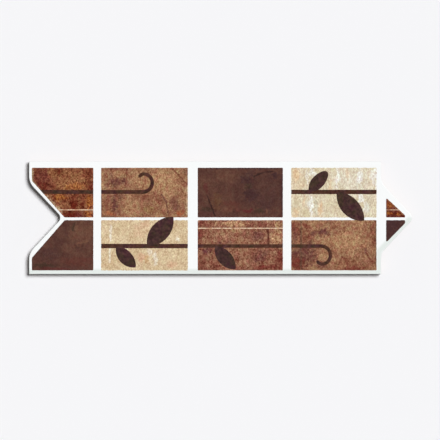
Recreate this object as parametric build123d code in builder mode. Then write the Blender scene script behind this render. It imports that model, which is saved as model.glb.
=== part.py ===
"""Interlocking ceramic border tile, one pressed and fired piece.

The tile lies face up on its back: X runs along the border, Y across it and Z out of the
glazed face. A pointed tongue at +X enters the notch at -X of the next tile, so one profile
gives both. The origin is the centre of the back, under the middle of the whole length.
"""

import os
from math import atan2, isclose, sin

from build123d import *

# Driving dimensions, in millimetres and degrees
body_length = 250.0  # straight body, and the step from one tile to the next
tile_width = 80.0
tile_thickness = 7.5
tongue_reach = 23.5  # from the body's edge to where the two flanks would cross
tongue_half_width = 25.0  # at the tongue's root
tip_radius = 4.0  # tongue tip and bottom of the notch
shoulder_radius = 12.0  # tongue roots and shoulders of the notch
face_edge_radius = 0.5  # rounded edge of the glazed face
back_edge_chamfer = 0.6
key_margin = 7.0  # plain rim round the keyed back
key_groove_width = 6.0
key_rib_width = 3.0
key_groove_depth = 0.9
key_draft = 20.0  # slope of the groove walls, so that the press lets go

# Values that follow from them
tip_half_angle = atan2(tongue_half_width, tongue_reach)
tip_setback = tip_radius * (1 / sin(tip_half_angle) - 1)
overall_length = body_length + tongue_reach - tip_setback
notch_end = -overall_length / 2
tongue_end = notch_end + body_length
half_width = tile_width / 2
key_pitch = key_groove_width + key_rib_width
key_count = int((tile_width - 2 * key_margin + key_rib_width) / key_pitch)


def corners_at(sketch, distance):
    """The corners of a sketch that lie a distance from the tile's long axis."""
    return sketch.vertices().filter_by(lambda corner: isclose(abs(corner.Y), distance, abs_tol=1e-6))


# Arrow outline, seen from the face: sharp corners first, then the rounded ones
with BuildSketch() as outline:
    with BuildLine():
        Polyline(
            (notch_end, -half_width),
            (tongue_end, -half_width),
            (tongue_end, -tongue_half_width),
            (tongue_end + tongue_reach, 0),
            (tongue_end, tongue_half_width),
            (tongue_end, half_width),
            (notch_end, half_width),
            (notch_end, tongue_half_width),
            (notch_end + tongue_reach, 0),
            (notch_end, -tongue_half_width),
            close=True,
        )
    make_face()
    fillet(corners_at(outline, 0), radius=tip_radius)
    fillet(corners_at(outline, tongue_half_width), radius=shoulder_radius)

# Lengthwise key grooves of the back: strips cut to the outline, less the plain rim
with BuildSketch() as key_field:
    add(outline.sketch)
    offset(amount=-key_margin, mode=Mode.REPLACE)

with BuildSketch() as key_grooves:
    with GridLocations(0, key_pitch, 1, key_count):
        Rectangle(overall_length, key_groove_width)
    add(key_field.sketch, mode=Mode.INTERSECT)

# The tile: slab, rounded edge on the face, broken edge and key grooves on the back
with BuildPart() as border_tile:
    add(outline.sketch)
    extrude(amount=tile_thickness)
    face_edges = border_tile.faces().sort_by(Axis.Z)[-1].edges()
    back_edges = border_tile.faces().sort_by(Axis.Z)[0].edges()
    fillet(face_edges, radius=face_edge_radius)
    chamfer(back_edges, length=back_edge_chamfer)
    extrude(key_grooves.sketch, amount=key_groove_depth, taper=key_draft, mode=Mode.SUBTRACT)

border_tile.part.label = "border_tile"
os.makedirs("parts", exist_ok=True)
export_step(border_tile.part, "parts/border_tile.step")
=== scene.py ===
"""Looks of the border tile: white glaze on a fired body, printed with stone-look panels and leaf sprigs.

The decor is laid out in millimetres from the tile's lower corner at the notch end, X towards the
tongue and Y across the border, and turned into metres of the shared frame when a piece is made.
"""

from math import cos, pi, radians, sin, sqrt, tan

import bmesh
import bpy
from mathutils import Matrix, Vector, noise


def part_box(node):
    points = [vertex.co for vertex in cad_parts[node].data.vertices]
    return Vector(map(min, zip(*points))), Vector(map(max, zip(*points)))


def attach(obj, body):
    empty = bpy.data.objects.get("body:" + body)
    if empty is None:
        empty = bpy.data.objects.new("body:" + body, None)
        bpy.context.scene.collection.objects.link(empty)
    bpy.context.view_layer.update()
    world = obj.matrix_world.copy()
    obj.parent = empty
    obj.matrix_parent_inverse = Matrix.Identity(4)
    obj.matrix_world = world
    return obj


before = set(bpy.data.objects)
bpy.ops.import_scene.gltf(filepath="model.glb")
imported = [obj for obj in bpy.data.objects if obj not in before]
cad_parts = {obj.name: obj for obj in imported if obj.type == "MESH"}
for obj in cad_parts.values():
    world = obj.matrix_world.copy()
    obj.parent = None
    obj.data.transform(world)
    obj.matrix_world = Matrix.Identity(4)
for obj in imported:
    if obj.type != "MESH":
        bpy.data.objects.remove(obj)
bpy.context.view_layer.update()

MM = 0.001
TILE_LOW, TILE_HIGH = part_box("border_tile")
FACE = TILE_HIGH.z / MM  # height of the glazed face

# Printed panels: the columns and rows of the white grid
COLUMNS = {
    "notch": (2.0, 45.7),
    "first": (51.2, 112.8),
    "second": (119.8, 180.3),
    "third": (186.2, 246.8),
    "tongue": (253.6, 267.1),
}
ROWS = {"lower": (2.5, 38.2), "upper": (40.1, 75.4)}
DECOR_LIFT = 0.16  # of the whole layout, from the tile's lower edge
CORNER_RADIUS = 0.6
BEND_RADIUS = 1.5  # where a panel follows the tile's flank
BEND_HALF_ANGLE = 50.0  # a corner that is blunter than this is such a bend

# Slanted edges of the four panels at the notch and on the tongue, each with its panel to the left
NOTCH_UPPER_FLANK = ((2.6, 65.5), (25.2, 40.1))
NOTCH_LOWER_FLANK = ((25.3, 38.2), (2.1, 11.6))
TONGUE_UPPER_FLANK = ((268.8, 40.1), (253.4, 54.4))
TONGUE_LOWER_FLANK = ((253.4, 22.0), (269.3, 38.2))

# Sprigs and lines
UPPER_STEM_Y = 58.2
LOWER_STEM_Y = 19.8
UPPER_STEM_WIDTH = 2.9
LOWER_STEM_WIDTH = 2.6
PALE_STEM_WIDTH = 3.2  # on the beige and the ivory panel
CURL_RADIUS = 6.6
CURL_END_RADIUS = 5.2
CURL_LATENESS = 8  # 1 tightens the curl all along, more only near its tip
CURL_END_WIDTH = 2.4
CURL_TURN = 205.0  # degrees from the end of the straight stem
UPPER_CURL_X = 80.9
LOWER_CURL_X = 207.4
UP, DOWN = 1, -1  # the sides to which a stem curls
UPPER_LINE_Y = 45.5
LOWER_LINE_Y = 32.4
LINE_WIDTH = 0.75
TONGUE_LINE_WIDTH = 0.55

# Printed films: heights above the face, how far each is let into it, and breadths of the rounded edges
PANEL_HEIGHT = 0.06
LINE_HEIGHT = 0.10
STEM_HEIGHT = 0.14
LEAF_HEIGHT = 0.20
FILM_SINK = 0.03
PANEL_EDGE = 0.12
LINE_EDGE = 0.12
STEM_EDGE = 0.25
LEAF_EDGE = 0.3
EDGE_PROFILE = ((0.15, 0.55), (0.5, 0.9), (1, 1))  # shares of breadth and height, going up an edge
EDGE_STEP = 0.5  # spacing of the points along an outline

# Unevenness that the screen print leaves along the outlines
PRINT_WEAR = 0.1
LEAF_WEAR = 0.08
PALE_WEAR = 0.3  # of the beige and the ivory panel
WEAR_LENGTH = 1.5

# Glaze
GLAZE_END = 5.6  # height on the sides at which its longest runs end
GLAZE_FULL = 5.9  # and from which they hide the bare body
GLAZE_RUNS = 1.6  # how much higher the shortest runs end
LOWER_RIM = [(0.5, 1.6), (248.6, 1.6), (248.6, 16.0), (270.0, 38.5)]  # where the glaze is painted greenish grey as shade
# How wide and how strong the painted shade along that rim is
RIM_SHADE_WIDTH = 3.0
RIM_SHADE_STRENGTH = 0.8
SPECULAR = 0.4  # of glaze, print and bare body alike

# Stone look
PATCH_FADE = (0.45, 1.2)  # where a patch starts to fade and where it ends, in its radii
CRACK_FADE = (0.2, 1.0)  # the same for a crack, in its widths
FRAY = 2.4  # how far the rims of its patches go in and out, as a share of their radii
BLUE_SHARE = 0.6  # of the swing of green, where its hue is uneven
DARK_TINT = (0.85, 1.2, 1.3)  # swing of red, green and blue in its grain: what is darker is redder too

# Photograph: its scale, and the place that its middle shows
PHOTO_PIXELS = 440
MM_PER_PIXEL = 0.7102
VIEW_CENTRE = (-0.36, -1.55)
LENS = 250.0  # long, so that the view is nearly parallel

# Light: a soft key from the upper right, a weak fill from straight above,
# and a sky that is pale at the horizon and dark overhead
KEY_AZIMUTH = 35.0
KEY_ELEVATION = 67.0
KEY_SPREAD = 22.0
KEY_LEVEL = 0.90  # share of a full white that the key gives the face
FILL_AZIMUTH = 0.0
FILL_ELEVATION = 90.0
FILL_SPREAD = 60.0
FILL_LEVEL = 0.035
SKY_ZENITH = 0.03
SKY_HORIZON = 0.60
SKY_FALL = 4.0  # how fast the sky darkens above the horizon

# Floor: pale to the eye, and grey in the light that it throws back at the tile
FLOOR_SEEN = (246, 246, 248)
FLOOR_BOUNCE = (128, 128, 130)
FLOOR_ROUGHNESS = 0.9
FLOOR_REACH = 30.0  # to either side, in metres
FLOOR_GAP = 0.1  # under the tile


def srgb(red, green, blue):
    """Linear RGBA of an 8-bit screen colour."""
    def linear(value):
        value /= 255
        return value / 12.92 if value <= 0.04045 else ((value + 0.055) / 1.055) ** 2.4
    return (linear(red), linear(green), linear(blue), 1.0)


def metres(x, y, z=0.0):
    """A place of the decor's layout in the shared frame."""
    return Vector((TILE_LOW.x + x * MM, TILE_LOW.y + (y + DECOR_LIFT) * MM, z * MM))


def add_object(name, data):
    """A new object of the scene."""
    thing = bpy.data.objects.new(name, data)
    bpy.context.scene.collection.objects.link(thing)
    return thing


# Outlines, as lists of points of the layout in counter-clockwise order

def across(column, bottom, top, flank):
    """A rectangle as wide as a column, trimmed along the flank that it meets."""
    left, right = COLUMNS[column]
    points = [Vector((left, bottom)), Vector((right, bottom)), Vector((right, top)), Vector((left, top))]
    return trimmed(points, *flank) if flank else points


def trimmed(points, start, end):
    """The part of a convex outline that lies to the left of a line."""
    start, end = Vector(start), Vector(end)
    normal = Vector((end.y - start.y, start.x - end.x))
    kept = []
    for here, ahead in zip(points, points[1:] + points[:1]):
        out_here = (here - start).dot(normal)
        out_ahead = (ahead - start).dot(normal)
        if out_here <= 0:
            kept.append(here)
        if out_here * out_ahead < 0:
            kept.append(here.lerp(ahead, out_here / (out_here - out_ahead)))
    return kept


def rounded(points):
    """The outline with an arc in place of each corner, larger where it only bends."""
    steps = 4
    arcs = []
    for i, corner in enumerate(points):
        back = (points[i - 1] - corner).normalized()
        ahead = (points[(i + 1) % len(points)] - corner).normalized()
        half_angle = back.angle(ahead) / 2
        radius = BEND_RADIUS if half_angle > radians(BEND_HALF_ANGLE) else CORNER_RADIUS
        centre = corner + (back + ahead).normalized() * radius / sin(half_angle)
        setback = radius / tan(half_angle)
        first = (corner + back * setback - centre).normalized()
        last = (corner + ahead * setback - centre).normalized()
        arcs += [centre + first.slerp(last, step / steps) * radius for step in range(steps + 1)]
    return arcs


def finely(points):
    """The outline with points about one edge step apart, or closer."""
    dense = []
    for here, ahead in zip(points, points[1:] + points[:1]):
        count = max(1, round((ahead - here).length / EDGE_STEP))
        dense += [here.lerp(ahead, k / count) for k in range(count)]
    return dense


def inward(points, i):
    """Unit vector into the outline at one of its points."""
    along = (points[(i + 1) % len(points)] - points[i - 1]).normalized()
    return Vector((-along.y, along.x))


def ragged(points, wear):
    """The outline with the small unevenness of a screen print."""
    sways = [noise.noise(Vector((p.x, p.y, 0)) / WEAR_LENGTH) for p in points]
    return [p + inward(points, i) * sways[i] * wear for i, p in enumerate(points)]


def ribbon(centres, widths):
    """Outline of a stroke along a line of centres, with a round far end."""
    cap_steps = 8
    left, right = [], []
    for i, centre in enumerate(centres):
        along = (centres[min(i + 1, len(centres) - 1)] - centres[max(i - 1, 0)]).normalized()
        side = Vector((-along.y, along.x))
        left.append(centre + side * widths[i] / 2)
        right.append(centre - side * widths[i] / 2)
    angles = [pi * step / cap_steps - pi / 2 for step in range(1, cap_steps)]
    cap = [centres[-1] + (along * cos(a) + side * sin(a)) * widths[-1] / 2 for a in angles]
    return right + cap + left[::-1]


def leaf_outline(base, tip, left_bulge, right_bulge, tip_roundness):
    """A leaf between two points, with an arc to either side that may run out rounder at the tip."""
    steps = 44
    base, tip = Vector(base), Vector(tip)
    axis = tip - base
    side = Vector((-axis.y, axis.x)).normalized()

    def half_width(bulge, share):
        radius = (axis.length ** 2 / 4 + bulge ** 2) / (2 * bulge)
        arc = sqrt(radius ** 2 - (axis.length * (share - 0.5)) ** 2) - (radius - bulge)
        return bulge * max(arc / bulge, 0) ** (1 - tip_roundness * share ** 2)

    shares = [k / steps for k in range(steps + 1)]
    right = [base + axis * s - side * half_width(right_bulge, s) for s in shares[:-1]]
    left = [base + axis * s + side * half_width(left_bulge, s) for s in shares[:0:-1]]
    return right + left


# Films: each print is a thin closed body with a rounded edge

def film(name, outline, height, edge, material):
    """A printed film of an outline, let a little into the tile's face."""
    rings = [(0, -FILM_SINK)] + [(inset * edge, rise * height) for inset, rise in EDGE_PROFILE]
    shape = bmesh.new()
    loops = []
    for inset, rise in rings:
        moved = [p + inward(outline, i) * inset for i, p in enumerate(outline)]
        loops.append([shape.verts.new(metres(p.x, p.y, FACE + rise)) for p in moved])
    for lower, upper in zip(loops, loops[1:]):
        for i in range(len(outline)):
            face = shape.faces.new((lower[i - 1], lower[i], upper[i], upper[i - 1]))
            face.smooth = True
    flats = [shape.faces.new(loops[-1]), shape.faces.new(loops[0][::-1])]
    shape.normal_update()
    map_from_above(shape)
    bmesh.ops.triangulate(shape, faces=flats)
    mesh = bpy.data.meshes.new(name)
    shape.to_mesh(mesh)
    shape.free()
    mesh.materials.append(material)
    piece = add_object(name, mesh)
    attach(piece, "root")


def map_from_above(shape):
    """A map of the film seen from above, with its underside small beside it."""
    margin = 0.01
    face_height = 0.93
    underside_start = 0.96
    underside_width = 0.05
    underside_height = 0.03
    layer = shape.loops.layers.uv.new("OFBake")
    xs = [v.co.x for v in shape.verts]
    ys = [v.co.y for v in shape.verts]
    left, right = min(xs), max(xs)
    bottom, top = min(ys), max(ys)
    for face in shape.faces:
        looks_down = face.normal.z < -0.5
        for corner in face.loops:
            u = (corner.vert.co.x - left) / (right - left)
            v = (corner.vert.co.y - bottom) / (top - bottom)
            if looks_down:
                corner[layer].uv = (margin + underside_width * u, underside_start + underside_height * v)
            else:
                corner[layer].uv = (margin + (1 - 2 * margin) * u, margin + face_height * v)


# Node graphs

class Graph:
    """The nodes of one material. A socket or a plain value may feed every input."""

    def __init__(self, name):
        self.material = bpy.data.materials.new(name)
        self.material.use_nodes = True
        self.tree = self.material.node_tree
        self.shader = self.tree.nodes["Principled BSDF"]
        self.place = self.add("ShaderNodeTexCoord").outputs["Object"]

    def add(self, kind, **settings):
        """A new node with these settings."""
        node = self.tree.nodes.new(kind)
        for key, value in settings.items():
            setattr(node, key, value)
        return node

    def feed(self, socket, value):
        """Links an input to another node's socket, or sets it to a plain value."""
        if isinstance(value, bpy.types.NodeSocket):
            self.tree.links.new(value, socket)
        else:
            socket.default_value = value

    def math(self, operation, first, second):
        """The number that a math node gives."""
        node = self.add("ShaderNodeMath", operation=operation)
        self.feed(node.inputs[0], first)
        self.feed(node.inputs[1], second)
        return node.outputs[0]

    def vector(self, operation, first, second=(0, 0, 0)):
        """The vector, or for some operations the number, that a vector math node gives."""
        node = self.add("ShaderNodeVectorMath", operation=operation)
        self.feed(node.inputs[0], first)
        self.feed(node.inputs[1], second)
        return node.outputs["Value" if operation in ("LENGTH", "DOT_PRODUCT", "DISTANCE") else "Vector"]

    def noise(self, size, detail=3.0, roughness=0.55, stretch=(1, 1, 1), place=None, output="Fac"):
        """Cloudy noise with grains of about a size in millimetres, longer where it is stretched."""
        scale = tuple(1 / (size * MM * s) for s in stretch)
        node = self.add("ShaderNodeTexNoise")
        self.feed(node.inputs["Vector"], self.vector("MULTIPLY", place or self.place, scale))
        self.feed(node.inputs["Scale"], 1.0)
        self.feed(node.inputs["Detail"], detail)
        self.feed(node.inputs["Roughness"], roughness)
        return node.outputs[output]

    def ramp(self, value, low, high, start=0.0, end=1.0):
        """A smooth step from start to end as the value goes from low to high."""
        node = self.add("ShaderNodeMapRange", interpolation_type="SMOOTHSTEP")
        self.feed(node.inputs["Value"], value)
        for name, number in (("From Min", low), ("From Max", high), ("To Min", start), ("To Max", end)):
            self.feed(node.inputs[name], number)
        return node.outputs["Result"]

    def mix(self, factor, first, second):
        """The first colour, going over to the second by a factor."""
        # Sockets 6, 7 and 2 are those that the node has for colours
        node = self.add("ShaderNodeMix", data_type="RGBA")
        self.feed(node.inputs[0], factor)
        self.feed(node.inputs[6], first)
        self.feed(node.inputs[7], second)
        return node.outputs[2]

    def varied(self, colour, cloud, amounts):
        """The colour made stronger and weaker by a cloudy noise, by up to these amounts of RGB."""
        spread = tuple(2 * amount for amount in amounts)
        swing = self.vector("MULTIPLY", self.vector("SUBTRACT", cloud, (0.5, 0.5, 0.5)), spread)
        return self.vector("MULTIPLY", colour, self.vector("ADD", swing, (1, 1, 1)))

    def swayed(self, size, amount, place=None):
        """The place, moved about by up to an amount, in millimetres."""
        cloud = self.noise(size, detail=2.0, place=place, output="Color")
        centred = self.vector("SUBTRACT", cloud, (0.5, 0.5, 0.5))
        shift = self.vector("MULTIPLY", centred, (2 * amount * MM,) * 3)
        return self.vector("ADD", place or self.place, shift)

    def patch(self, place, centre, radii, fray):
        """1 in the middle of an oval of the layout, falling to 0 at a rim that frays in and out."""
        middle = metres(*centre)
        away = self.vector("SUBTRACT", place, (middle.x, middle.y, 0))
        scaled = self.vector("MULTIPLY", away, (1 / (radii[0] * MM), 1 / (radii[1] * MM), 0))
        reach = self.math("ADD", self.vector("LENGTH", scaled), fray)
        return self.ramp(reach, *PATCH_FADE, 1.0, 0.0)

    def crack(self, place, points, width, fray=0.0):
        """1 on a thin line through points of the layout, falling to 0 at sides that fray in and out."""
        nearest = None
        for start, end in zip(points, points[1:]):
            first, last = metres(*start), metres(*end)
            heading = (last - first).normalized()
            away = self.vector("MULTIPLY", self.vector("SUBTRACT", place, first), (1, 1, 0))
            along = self.math("MAXIMUM", self.vector("DOT_PRODUCT", away, heading), 0.0)
            along = self.math("MINIMUM", along, (last - first).length)
            on_line = self.add("ShaderNodeVectorMath", operation="SCALE")
            self.feed(on_line.inputs[0], heading)
            self.feed(on_line.inputs["Scale"], along)
            gap = self.vector("DISTANCE", away, on_line.outputs["Vector"])
            nearest = gap if nearest is None else self.math("MINIMUM", nearest, gap)
        reach = self.math("ADD", self.math("DIVIDE", nearest, width * MM), fray)
        return self.ramp(reach, *CRACK_FADE, 1.0, 0.0)

    def finish(self, colour, roughness, height, depth):
        """Feeds the shader: colour, roughness and a relief of a depth in millimetres."""
        relief = self.add("ShaderNodeBump")
        self.feed(relief.inputs["Height"], height)
        self.feed(relief.inputs["Distance"], depth * MM)
        self.feed(self.shader.inputs["Normal"], relief.outputs["Normal"])
        self.feed(self.shader.inputs["Base Color"], colour)
        self.feed(self.shader.inputs["Roughness"], roughness)
        self.shader.inputs["Specular IOR Level"].default_value = SPECULAR
        return self.material


# Inks, as 8-bit screen colours

# The third glaze ink is painted shade, for the lower and right rim
GLAZE = {"white": (253, 255, 255), "milk": (252, 254, 254), "painted_rim_shade": (228, 236, 231)}
BODY = {
    "base": (160, 134, 112), "light": (182, 156, 132), "dust": (192, 170, 148), "speck": (112, 88, 70),
}
ENAMEL = {
    "stem": (82, 50, 38), "leaf": (70, 48, 46), "plum": (76, 40, 50), "olive": (64, 54, 36),
    "light": (104, 74, 66), "dark": (46, 29, 28),
}
CREAM = {"base": (238, 214, 186), "rosy": (214, 168, 136), "worn": (176, 118, 88)}
RUST = {
    "base": (124, 70, 48), "light": (142, 90, 62), "red": (92, 28, 16), "plum": (106, 50, 44),
    "ochre": (170, 102, 46), "tan": (158, 110, 72), "pale": (172, 144, 112),
}
TAN = {
    "base": (144, 99, 76), "light": (164, 122, 90), "red": (118, 58, 46), "plum": (104, 60, 54),
    "ochre": (172, 92, 52), "tan": (176, 134, 98), "olive": (146, 116, 70), "moss": (88, 68, 54),
    "pale": (198, 170, 138),
}
EARTH = {
    "base": (134, 86, 68), "light": (154, 108, 84), "red": (112, 50, 42), "plum": (98, 52, 52),
    "tan": (184, 142, 106), "pale": (212, 176, 138), "crack": (88, 42, 34),
}
CHOCOLATE = {
    "base": (86, 55, 48), "light": (98, 65, 54), "red": (96, 46, 44), "plum": (72, 47, 47),
    "moss": (66, 51, 40), "ochre": (104, 71, 50), "warm": (102, 58, 49), "tan": (120, 82, 64),
    "crack": (44, 29, 28),
}
BEIGE = {
    "base": (209, 183, 145), "light": (222, 199, 163), "peach": (216, 172, 140), "ochre": (206, 166, 118),
    "white": (248, 240, 226),
}
IVORY = {
    "base": (215, 199, 166), "light": (227, 214, 188), "peach": (226, 190, 148), "grey": (200, 192, 170),
    "white": (248, 248, 242),
}


def linear_inks(palette):
    """The inks of a palette as linear colours."""
    return {name: srgb(*colour) for name, colour in palette.items()}


# Materials

def glaze_material():
    """White gloss glaze over the face and its edge, painted greenish grey as shade along its lower and
    right rim, and bare fired body on the sides and the back.
    """
    graph = Graph("white_glaze")
    glaze, bare = linear_inks(GLAZE), linear_inks(BODY)
    split = graph.add("ShaderNodeSeparateXYZ")
    graph.feed(split.inputs[0], graph.place)
    runs = graph.math("MULTIPLY", graph.noise(7.0, stretch=(1, 1, 3)), GLAZE_RUNS * MM)
    above_runs = graph.math("SUBTRACT", split.outputs["Z"], runs)
    glazed = graph.ramp(above_runs, GLAZE_END * MM, GLAZE_FULL * MM)

    tone = graph.ramp(graph.noise(35.0, detail=2.0), 0.35, 0.65)
    white = graph.mix(tone, glaze["white"], glaze["milk"])
    # Painted shade: the rim along the lower edge, the right end and the tongue's lower flank turns
    # greenish grey, as if it sloped away from the light
    painted_rim_shade = graph.math("MULTIPLY", graph.crack(graph.place, LOWER_RIM, RIM_SHADE_WIDTH), RIM_SHADE_STRENGTH)
    white = graph.mix(painted_rim_shade, white, glaze["painted_rim_shade"])

    clay = graph.noise(1.1, detail=5.0, roughness=0.7)
    body = graph.mix(graph.ramp(clay, 0.35, 0.68), bare["base"], bare["light"])
    dusty = graph.ramp(graph.noise(26.0), 0.4, 0.7, 0.0, 0.5)
    body = graph.mix(dusty, body, bare["dust"])
    specks = graph.ramp(graph.noise(0.7, detail=1.0), 0.70, 0.76, 0.0, 0.6)
    body = graph.mix(specks, body, bare["speck"])

    colour = graph.mix(glazed, body, white)
    roughness = graph.ramp(glazed, 0.0, 1.0, 0.85, 0.13)
    waves = graph.math("MULTIPLY", graph.noise(9.0, detail=1.0), 0.25)
    return graph.finish(colour, roughness, graph.mix(glazed, clay, waves), depth=0.06)


def stone_material(name, palette, hue, mottle, speckle, patches, cracks=(), streak=1.2):
    """A stone-look print: clouded ground, placed patches and cracks, and grain along a streak.

    A patch is its ink, strength, centre and radii, a crack its ink, strength, width and points.
    Hue, mottle and speckle say how far the tint, the shade and the fine grain swing.
    """
    graph = Graph(name)
    inks = linear_inks(palette)
    along = (1, streak, 1)
    cloud = graph.noise(8.0, detail=4.0, roughness=0.6, stretch=along)
    colour = graph.mix(graph.ramp(cloud, 0.36, 0.64), inks["base"], inks["light"])
    broken = graph.ramp(graph.noise(2.2, detail=4.0, roughness=0.7), 0.36, 0.56, 0.6, 1.0)
    place = graph.swayed(size=5.0, amount=2.4)
    place = graph.swayed(size=1.6, amount=0.8, place=place)
    flecks = graph.noise(1.8, detail=4.0, roughness=0.7, stretch=along)
    fray = graph.math("MULTIPLY", graph.math("SUBTRACT", flecks, 0.5), FRAY)
    for key, strength, centre, radii in patches:
        mask = graph.math("MULTIPLY", graph.patch(place, centre, radii, fray), broken)
        colour = graph.mix(graph.math("MULTIPLY", mask, strength), colour, inks[key])
    place = graph.swayed(size=4.0, amount=0.5)
    for key, strength, width, points in cracks:
        mask = graph.math("MULTIPLY", graph.crack(place, points, width, fray), broken)
        colour = graph.mix(graph.math("MULTIPLY", mask, strength), colour, inks[key])
    grain = graph.noise(0.8, detail=2.0, roughness=0.6, stretch=along)
    shade = graph.noise(2.2, detail=2.0, roughness=0.6, stretch=along)
    colour = graph.varied(colour, graph.noise(2.6, stretch=along), (0, hue, BLUE_SHARE * hue))
    colour = graph.varied(colour, shade, tuple(mottle * tint for tint in DARK_TINT))
    colour = graph.varied(colour, grain, tuple(speckle * tint for tint in DARK_TINT))
    return graph.finish(colour, graph.ramp(grain, 0.3, 0.7, 0.42, 0.30), grain, depth=0.02)


def enamel_material(name, ink):
    """Dark brown enamel of the sprigs, here a little plum and there a little olive."""
    graph = Graph(name)
    inks = linear_inks(ENAMEL)
    tints = graph.add("ShaderNodeSeparateXYZ")
    graph.feed(tints.inputs[0], graph.noise(6.0, output="Color"))
    tone = graph.mix(graph.ramp(tints.outputs["X"], 0.45, 0.65, 0.0, 0.7), inks[ink], inks["plum"])
    tone = graph.mix(graph.ramp(tints.outputs["Y"], 0.48, 0.68, 0.0, 0.7), tone, inks["olive"])
    grain = graph.noise(1.4, detail=2.0)
    tone = graph.mix(graph.ramp(grain, 0.5, 0.7, 0.0, 0.6), tone, inks["light"])
    tone = graph.mix(graph.ramp(grain, 0.5, 0.3, 0.0, 0.6), tone, inks["dark"])
    return graph.finish(tone, graph.ramp(grain, 0.3, 0.7, 0.36, 0.26), grain, depth=0.015)


def line_material():
    """Cream lines, thin enough for the ground to tint them here and there."""
    graph = Graph("cream_print")
    inks = linear_inks(CREAM)
    grain = graph.noise(1.3)
    tone = graph.mix(graph.ramp(grain, 0.4, 0.65), inks["base"], inks["rosy"])
    worn = graph.ramp(graph.noise(5.0), 0.5, 0.68, 0.0, 0.8)
    tone = graph.mix(worn, tone, inks["worn"])
    return graph.finish(tone, graph.ramp(grain, 0.3, 0.7, 0.4, 0.3), grain, depth=0.01)


# The tile itself keeps its shape and takes the glaze

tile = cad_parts["border_tile"]
tile.data.materials.clear()
tile.data.materials.append(glaze_material())


# Printed panels, from the notch to the tongue

def panel(column, row, material, flank=None, wear=PRINT_WEAR):
    """One printed panel of the grid, trimmed along the flank that it meets."""
    outline = ragged(finely(rounded(across(column, *ROWS[row], flank))), wear)
    film(f"panel_{column}_{row}", outline, PANEL_HEIGHT, PANEL_EDGE, material)


panel(
    "notch", "upper", flank=NOTCH_UPPER_FLANK,
    material=stone_material(
        "rust_stone_notch", RUST, hue=0.55, mottle=0.45, speckle=2.1,
        patches=[
            ("plum", 0.85, (8.5, 66), (8, 10)),
            ("red", 0.7, (10, 62), (4, 4)),
            ("plum", 0.4, (15, 60), (4, 3)),
            ("tan", 0.75, (16.2, 71.8), (2.6, 4)),
            ("red", 1.0, (21, 72.4), (2.6, 3.4)),
            ("tan", 0.5, (30, 66.5), (12, 8)),
            ("ochre", 0.5, (33, 62), (8, 3)),
            ("red", 0.45, (42.8, 71.4), (3.4, 5)),
            ("red", 0.8, (44.2, 62.4), (2.2, 4)),
            ("ochre", 0.7, (22.5, 54.3), (5, 3)),
            ("red", 0.7, (34, 55), (4, 2.4)),
            ("red", 0.7, (41, 55.6), (3, 2.4)),
            ("red", 0.8, (18.4, 53.6), (1.4, 1.6)),
            ("red", 1.0, (31.6, 49.4), (3, 4.4)),
            ("red", 1.0, (37.6, 49), (2.4, 4)),
            ("ochre", 0.7, (43, 51), (3, 5)),
            ("red", 1.0, (28.5, 42.4), (6.5, 3.6)),
            ("plum", 0.8, (36, 42.2), (4, 2.6)),
            ("ochre", 0.7, (42.5, 42.6), (3.6, 2.6)),
        ],
        cracks=[
            ("pale", 0.75, 1.6, [(2.2, 75), (2.2, 65.6), (12.4, 54.3)]),
            ("pale", 0.85, 2.2, [(12.4, 54.3), (22, 43.8)]),
            ("red", 0.7, 0.7, [(38.5, 73.5), (45, 68.5)]),
            ("red", 0.6, 0.7, [(38, 70.5), (44.5, 65)]),
        ],
    ),
)
panel(
    "notch", "lower", flank=NOTCH_LOWER_FLANK,
    material=stone_material(
        "chocolate_stone_notch", CHOCOLATE, hue=0.25, mottle=0.3, speckle=0.55,
        patches=[
            ("tan", 0.55, (37, 29), (10, 10)),
            ("moss", 0.6, (31.6, 33.6), (1.7, 3.6)),
            ("tan", 0.7, (34.6, 32), (1.4, 4)),
            ("plum", 0.6, (12, 14), (10, 5)),
            ("warm", 0.8, (34, 9), (13, 4)),
            ("moss", 0.7, (12, 6), (9, 2)),
            ("red", 0.7, (16, 3.4), (15, 1.5)),
            ("tan", 0.15, (30, 16), (7, 4)),
        ],
        cracks=[
            ("tan", 0.9, 1.0, [(34.4, 21.7), (37.5, 22.4), (41.7, 23)]),
            ("moss", 0.7, 0.7, [(32.6, 36.5), (31, 31)]),
        ],
    ),
)
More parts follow.
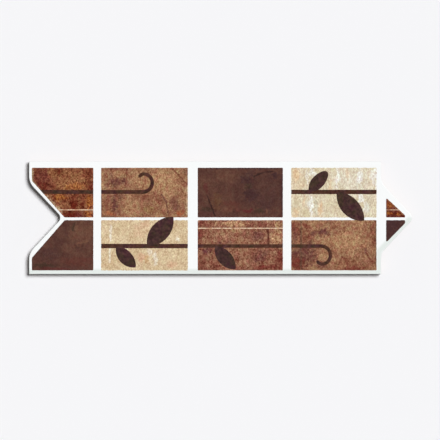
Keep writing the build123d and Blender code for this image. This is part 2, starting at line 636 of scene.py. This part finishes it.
panel(
    "first", "upper",
    material=stone_material(
        "tan_stone_first", TAN, hue=0.5, mottle=0.45, speckle=1.35,
        patches=[
            ("plum", 0.95, (61.2, 65.2), (5.8, 3.4)),
            ("plum", 0.5, (55, 62.6), (2.6, 2.2)),
            ("red", 0.7, (61.7, 74.3), (8, 1.8)),
            ("plum", 0.9, (67.8, 65.4), (2.6, 3)),
            ("tan", 0.6, (63, 70.8), (4, 2.2)),
            ("plum", 0.5, (58.4, 70), (2.4, 2)),
            ("plum", 1.0, (60.8, 49.6), (2.2, 8)),
            ("red", 0.6, (55, 48.5), (3.4, 6.5)),
            ("ochre", 0.5, (58.5, 43.2), (6, 2)),
            ("tan", 0.6, (71.5, 48), (5.5, 7)),
            ("plum", 0.6, (65.7, 55.2), (3, 2)),
            ("tan", 0.9, (95, 66), (15, 10)),
            ("tan", 0.5, (76.5, 66), (5, 6)),
            ("red", 0.5, (83, 54), (5, 3.5)),
            ("red", 0.6, (91.6, 53.6), (3.6, 3.4)),
            ("olive", 0.5, (85.5, 45.5), (6, 3)),
            ("plum", 0.65, (103.8, 50), (4, 6)),
            ("plum", 0.6, (105.2, 45), (3.4, 3.4)),
            ("plum", 0.7, (62.8, 43.6), (3, 2.6)),
            ("ochre", 0.7, (107.2, 43.6), (4, 1.8)),
            ("plum", 0.45, (110.8, 73), (3, 2.6)),
            ("red", 0.5, (88, 57), (2.6, 2.4)),
        ],
        cracks=[
            ("red", 0.85, 1.0, [(101, 75.4), (106, 70.5), (112.4, 63.6)]),
            ("red", 0.9, 0.9, [(69.3, 75.2), (69.1, 63.5)]),
            ("plum", 0.9, 0.9, [(94, 56.5), (97.4, 51.5), (99, 43.5)]),
            ("pale", 0.7, 1.5, [(112.6, 62), (112.5, 43)]),
            ("tan", 0.6, 1.8, [(51.8, 73), (51.8, 60)]),
            ("moss", 0.5, 1.0, [(51.3, 56), (51.3, 41), (60, 40.4)]),
        ],
    ),
)
panel(
    "first", "lower", wear=PALE_WEAR,
    material=stone_material(
        "beige_stone", BEIGE, streak=1.4, hue=0.12, mottle=0.2, speckle=0.72,
        patches=[
            ("peach", 0.45, (79, 31), (6, 6)),
            ("peach", 0.6, (83.5, 36), (3, 3)),
            ("white", 0.55, (85.8, 15.5), (2.2, 2.4)),
            ("white", 0.6, (89.8, 11), (1.6, 6)),
            ("peach", 0.8, (79, 11.5), (4, 3.5)),
            ("peach", 0.7, (102, 6.5), (4.5, 2.6)),
            ("white", 0.6, (106, 24.5), (1.3, 2.4)),
            ("ochre", 0.7, (84, 11), (1.4, 5)),
            ("ochre", 0.2, (56, 8), (5, 4)),
        ],
        cracks=[
            ("white", 0.7, 1.1, [(58.2, 34.5), (57.9, 24)]),
            ("white", 0.6, 1.0, [(57.6, 18), (57.2, 8.5)]),
        ],
    ),
)
panel(
    "second", "upper",
    material=stone_material(
        "chocolate_stone_second", CHOCOLATE, hue=0.25, mottle=0.3, speckle=0.55,
        patches=[
            ("plum", 0.4, (166, 58), (16, 18)),
            ("tan", 0.25, (125, 62), (4, 9)),
            ("tan", 0.4, (138, 69), (9, 5)),
            ("red", 0.6, (125, 62), (2, 4)),
            ("ochre", 0.8, (133.4, 51.5), (4.5, 6)),
            ("warm", 0.7, (144, 48), (7, 4)),
            ("moss", 0.7, (126, 45.5), (4.5, 2.4)),
            ("moss", 0.8, (156, 61.5), (3, 3)),
            ("plum", 0.9, (154, 67), (5, 3.5)),
            ("plum", 0.9, (158, 56), (6, 5)),
            ("plum", 1.0, (175, 69.8), (3, 3)),
            ("plum", 0.6, (157.3, 72), (4, 2.6)),
            ("plum", 0.35, (167, 49), (7, 4)),
            ("red", 1.0, (155, 44.9), (8, 1.3)),
            ("tan", 0.4, (140, 46), (7, 3)),
            ("moss", 0.2, (140.5, 43.4), (6, 1.4)),
            ("moss", 0.7, (163.4, 44.8), (4.5, 2.2)),
            ("tan", 0.8, (169.2, 44.8), (0.7, 2.6)),
            ("plum", 0.9, (150, 75.3), (31, 1.4)),
            ("plum", 0.9, (179.6, 58), (1.2, 16)),
        ],
        cracks=[
            ("crack", 0.9, 0.8, [(126.4, 55.7), (128.6, 50.2), (132, 41.6)]),
            ("crack", 0.7, 0.9, [(160, 69), (163, 70.9), (167, 72.2), (174, 73)]),
        ],
    ),
)
panel(
    "second", "lower",
    material=stone_material(
        "earth_stone", EARTH, streak=1.3, hue=0.55, mottle=0.5, speckle=1.75,
        patches=[
            ("red", 0.9, (123, 36), (4.5, 3)),
            ("tan", 1.0, (145, 35.6), (12, 2.4)),
            ("red", 0.3, (162.4, 35.8), (5, 2.2)),
            ("tan", 1.0, (177, 35), (3.4, 3)),
            ("red", 0.9, (121.8, 26.9), (3, 7)),
            ("tan", 0.25, (136, 29), (5, 3)),
            ("tan", 0.7, (146, 31), (5, 2.4)),
            ("plum", 0.7, (162.8, 26.6), (5.5, 4.4)),
            ("tan", 1.0, (175.4, 27), (4, 5.5)),
            ("tan", 0.35, (149.7, 23.4), (4.5, 2)),
            ("plum", 1.0, (126, 16.6), (5, 3.2)),
            ("plum", 0.8, (135.4, 22), (2.2, 1.4)),
            ("plum", 0.5, (142, 22.6), (3, 1.8)),
            ("tan", 0.25, (151, 15.5), (6, 3)),
            ("plum", 0.6, (167, 15), (4, 3)),
            ("plum", 0.8, (163.5, 11), (5, 3.5)),
            ("red", 1.0, (177.8, 11.7), (3.4, 9)),
            ("red", 1.0, (168, 5), (12, 2.6)),
            ("tan", 0.4, (150.5, 7.4), (4.5, 3)),
            ("red", 0.5, (157, 9.5), (3, 2.6)),
            ("red", 0.6, (122.5, 6.5), (4, 4.5)),
            ("red", 0.8, (133, 5), (5, 2.4)),
        ],
        cracks=[
            ("pale", 0.5, 0.6, [(169.5, 38), (169.4, 33.5)]),
            ("crack", 1.0, 1.0, [(169.7, 31.5), (170, 20.9)]),
        ],
    ),
)
panel(
    "third", "upper", wear=PALE_WEAR,
    material=stone_material(
        "ivory_stone", IVORY, streak=1.6, hue=0.12, mottle=0.18, speckle=0.66,
        patches=[
            ("peach", 0.25, (190, 66), (9, 12)),
            ("white", 0.25, (230, 66), (17, 11)),
            ("white", 0.75, (200.4, 48.5), (2.2, 9)),
            ("white", 0.7, (219.3, 68.4), (1.6, 8)),
            ("white", 0.9, (234.4, 69.5), (2.4, 7)),
            ("white", 0.8, (235.6, 54), (2.6, 4)),
            ("peach", 0.8, (190, 71), (3, 6)),
            ("peach", 0.7, (189, 43), (3, 4)),
            ("peach", 0.8, (207.6, 46), (1.8, 6)),
            ("peach", 0.2, (242, 66), (2, 7)),
            ("white", 0.6, (244.4, 69.5), (2.4, 6)),
            ("white", 0.7, (201.4, 72), (2.4, 4)),
            ("white", 0.6, (239.4, 47), (2, 5)),
            ("peach", 0.5, (214.5, 62), (1.4, 6)),
            ("peach", 0.5, (226.5, 71), (1.6, 5)),
            ("peach", 0.5, (195.5, 51), (1.2, 6)),
            ("white", 0.5, (197.5, 69), (1.4, 6)),
            ("grey", 0.7, (203.9, 47.5), (1.2, 8)),
            ("grey", 0.4, (241, 50), (2.4, 7)),
            ("white", 0.85, (246.6, 67), (1.1, 9)),
        ],
    ),
)
panel(
    "third", "lower",
    material=stone_material(
        "tan_stone_third", TAN, hue=0.5, mottle=0.45, speckle=1.35,
        patches=[
            ("red", 0.9, (189.5, 32), (4.5, 7)),
            ("plum", 0.7, (188.5, 26), (3, 6)),
            ("red", 0.8, (197, 33), (3.4, 3.4)),
            ("red", 0.7, (197, 26), (5, 4)),
            ("plum", 1.0, (193, 12), (10.5, 9)),
            ("red", 1.0, (190, 7), (7, 6)),
            ("plum", 0.5, (202, 12), (3.4, 6)),
            ("plum", 0.85, (199, 19), (5, 5)),
            ("plum", 0.6, (208.4, 5.6), (3, 2.2)),
            ("plum", 1.0, (209, 29.6), (6.5, 3)),
            ("plum", 0.7, (202, 29), (3.5, 2.4)),
            ("red", 0.9, (216, 32.5), (2, 1.2)),
            ("red", 0.8, (223.6, 31.5), (1.6, 2)),
            ("tan", 0.85, (225.5, 23), (13, 9)),
            ("red", 0.65, (244.4, 30), (3, 8)),
            ("red", 0.6, (244.5, 20), (2, 5)),
            ("red", 0.5, (242, 26), (2.4, 3)),
            ("plum", 0.9, (239.3, 16.1), (1.8, 1.8)),
            ("red", 1.0, (230, 3.8), (13, 2.3)),
            ("red", 0.45, (226, 9), (9, 3)),
            ("tan", 0.4, (207.5, 12), (3, 2.6)),
            ("tan", 0.6, (208, 36.8), (3.4, 1.6)),
            ("tan", 0.6, (236, 36.8), (4, 1.6)),
            ("tan", 0.6, (239, 19.8), (2.4, 1.8)),
        ],
        cracks=[
            ("moss", 0.7, 1.1, [(193.2, 37), (193, 20), (193.3, 4)]),
            ("red", 0.8, 1.1, [(239.6, 15), (241.4, 11.6), (243.9, 8.1)]),
            ("red", 0.7, 1.1, [(222.5, 12), (224.6, 9.6), (227, 6.2)]),
            ("red", 0.6, 1.0, [(221.8, 11), (219.4, 6.4)]),
            ("moss", 0.5, 1.0, [(246.4, 38), (246.5, 6)]),
        ],
    ),
)
panel(
    "tongue", "upper", flank=TONGUE_UPPER_FLANK,
    material=stone_material(
        "rust_stone_tongue", RUST, hue=0.55, mottle=0.45, speckle=2.1,
        patches=[
            ("red", 0.5, (258, 45), (14, 14)),
            ("plum", 0.65, (258, 45), (14, 14)),
            ("ochre", 0.6, (255.8, 48.6), (2.4, 2.6)),
            ("red", 0.9, (258, 49.4), (1.6, 1.6)),
            ("red", 1.0, (258.4, 43), (5, 1.8)),
            ("ochre", 0.6, (256, 43.2), (3, 1.4)),
            ("ochre", 0.6, (262.4, 42.6), (2.4, 1.3)),
            ("red", 0.9, (265, 41.5), (1.6, 1.2)),
        ],
        cracks=[("tan", 0.6, 1.2, [(255.5, 52.2), (266.5, 42.2)])],
    ),
)
panel(
    "tongue", "lower", flank=TONGUE_LOWER_FLANK,
    material=stone_material(
        "chocolate_stone_tongue", CHOCOLATE, hue=0.25, mottle=0.3, speckle=0.55,
        patches=[("plum", 0.95, (257, 33), (12, 14))],
    ),
)


# Sprigs and lines

def stem(name, column, y, width, flank=None):
    """A straight stem across one panel, trimmed along the flank that it meets."""
    outline = ragged(finely(across(column, y - width / 2, y + width / 2, flank)), PRINT_WEAR)
    film(name, outline, STEM_HEIGHT, STEM_EDGE, stem_brown)


def curled_stem(name, column, curl_x, y, width, side):
    """A stem that ends in a curl to one side, tightening towards its tip."""
    run_steps, curl_steps = 40, 44
    left = COLUMNS[column][0]
    centres = [Vector((left + (curl_x - left) * k / run_steps, y)) for k in range(run_steps)]
    widths = [width] * run_steps
    middle = Vector((curl_x, y + side * CURL_RADIUS))
    for k in range(curl_steps + 1):
        share = k / curl_steps
        turn = radians(CURL_TURN) * share
        radius = CURL_RADIUS + (CURL_END_RADIUS - CURL_RADIUS) * share ** CURL_LATENESS
        centres.append(middle + Vector((sin(turn), -side * cos(turn))) * radius)
        widths.append(width + (CURL_END_WIDTH - width) * share)
    outline = ragged(ribbon(centres, widths), PRINT_WEAR)
    film(name, outline, STEM_HEIGHT, STEM_EDGE, stem_brown)


def leaf(name, base, tip, left_bulge, right_bulge, tip_roundness=0.1):
    """A leaf from its base on the stem to its tip."""
    outline = ragged(leaf_outline(base, tip, left_bulge, right_bulge, tip_roundness), LEAF_WEAR)
    film(name, outline, LEAF_HEIGHT, LEAF_EDGE, leaf_brown)


def line(name, column, y, flank=None, width=LINE_WIDTH):
    """A cream line across one panel, trimmed along the flank that it meets."""
    outline = ragged(finely(across(column, y - width / 2, y + width / 2, flank)), PRINT_WEAR)
    film(name, outline, LINE_HEIGHT, LINE_EDGE, cream)


stem_brown = enamel_material("stem_enamel", "stem")
leaf_brown = enamel_material("leaf_enamel", "leaf")
cream = line_material()

stem("stem_notch", "notch", UPPER_STEM_Y, UPPER_STEM_WIDTH, NOTCH_UPPER_FLANK)
curled_stem("stem_first_upper", "first", UPPER_CURL_X, UPPER_STEM_Y, UPPER_STEM_WIDTH, UP)
stem("stem_first_lower", "first", LOWER_STEM_Y, PALE_STEM_WIDTH)
stem("stem_second_lower", "second", LOWER_STEM_Y, LOWER_STEM_WIDTH)
stem("stem_third_upper", "third", UPPER_STEM_Y, PALE_STEM_WIDTH)
curled_stem("stem_third_lower", "third", LOWER_CURL_X, LOWER_STEM_Y, LOWER_STEM_WIDTH, DOWN)

leaf("leaf_first_upper", base=(83.9, 19.6), tip=(102.4, 40.5), left_bulge=6.7, right_bulge=6.6)
leaf("leaf_first_lower", base=(61.8, 19.4), tip=(75.8, 4.7), left_bulge=4.5, right_bulge=5.2)
leaf("leaf_second_lower", base=(132.2, 20.0), tip=(146.7, 3.5), left_bulge=4.6, right_bulge=5.6)
leaf(
    "leaf_third_upper", base=(198.6, 58.2), tip=(211.9, 72.6), left_bulge=4.7, right_bulge=4.6,
    tip_roundness=0.4,
)
leaf("leaf_third_lower", base=(218.7, 58.3), tip=(238.0, 37.9), left_bulge=5.9, right_bulge=6.9)

line("line_notch", "notch", UPPER_LINE_Y, NOTCH_UPPER_FLANK)
line("line_second", "second", LOWER_LINE_Y)
line("line_tongue", "tongue", UPPER_LINE_Y, TONGUE_UPPER_FLANK, TONGUE_LINE_WIDTH)


# Stage: floor, sky, lamps and camera

floor_mesh = bpy.data.meshes.new("floor")
floor_mesh.from_pydata([(x, y, 0) for x, y in ((-1, -1), (1, -1), (1, 1), (-1, 1))], [], [(0, 1, 2, 3)])
floor_graph = Graph("pale_floor")
rays = floor_graph.add("ShaderNodeLightPath")
seen = floor_graph.math("MAXIMUM", rays.outputs["Is Camera Ray"], rays.outputs["Is Glossy Ray"])
seen = floor_graph.math("MAXIMUM", seen, rays.outputs["Is Transmission Ray"])
floor_colour = floor_graph.mix(seen, srgb(*FLOOR_BOUNCE), srgb(*FLOOR_SEEN))
floor_graph.feed(floor_graph.shader.inputs["Base Color"], floor_colour)
floor_graph.shader.inputs["Roughness"].default_value = FLOOR_ROUGHNESS
floor_graph.shader.inputs["Specular IOR Level"].default_value = 0.0
floor_mesh.materials.append(floor_graph.material)
floor = add_object("floor", floor_mesh)
floor.scale = (FLOOR_REACH, FLOOR_REACH, 1)
floor.location.z = TILE_LOW.z - FLOOR_GAP * MM

world = bpy.data.worlds.new("studio")
world.use_nodes = True
sky = world.node_tree
height = sky.nodes.new("ShaderNodeSeparateXYZ")
sky.links.new(sky.nodes.new("ShaderNodeTexCoord").outputs["Generated"], height.inputs[0])
lowness = sky.nodes.new("ShaderNodeMath")
lowness.operation = "SUBTRACT"
lowness.use_clamp = True
lowness.inputs[0].default_value = 1.0
sky.links.new(height.outputs["Z"], lowness.inputs[1])
fall = sky.nodes.new("ShaderNodeMath")
fall.operation = "POWER"
fall.inputs[1].default_value = SKY_FALL
sky.links.new(lowness.outputs[0], fall.inputs[0])
shade = sky.nodes.new("ShaderNodeMapRange")
shade.inputs["To Min"].default_value = SKY_ZENITH
shade.inputs["To Max"].default_value = SKY_HORIZON
sky.links.new(fall.outputs[0], shade.inputs["Value"])
sky.links.new(shade.outputs["Result"], sky.nodes["Background"].inputs["Color"])
bpy.context.scene.world = world


def sun(name, azimuth, elevation, spread, level):
    """A far lamp of an angular size that lights what lies flat to a level, 1 being a full white."""
    lamp = bpy.data.lights.new(name, "SUN")
    lamp.energy = level * pi / sin(radians(elevation))
    lamp.angle = radians(spread)
    lamp_object = add_object(name, lamp)
    lamp_object.rotation_mode = "XYZ"
    lamp_object.rotation_euler = (0, radians(90 - elevation), radians(azimuth))
    lamp_object.visible_glossy = False  # so that the glaze mirrors no lamp


sun("key", KEY_AZIMUTH, KEY_ELEVATION, KEY_SPREAD, KEY_LEVEL)
sun("fill", FILL_AZIMUTH, FILL_ELEVATION, FILL_SPREAD, FILL_LEVEL)

camera = bpy.data.cameras.new("camera")
camera.lens = LENS
distance = PHOTO_PIXELS * MM_PER_PIXEL * LENS / camera.sensor_width
camera_object = add_object("camera", camera)
camera_object.location = (VIEW_CENTRE[0] * MM, VIEW_CENTRE[1] * MM, (FACE + distance) * MM)
bpy.context.scene.camera = camera_object
bpy.context.scene.view_settings.view_transform = "Standard"
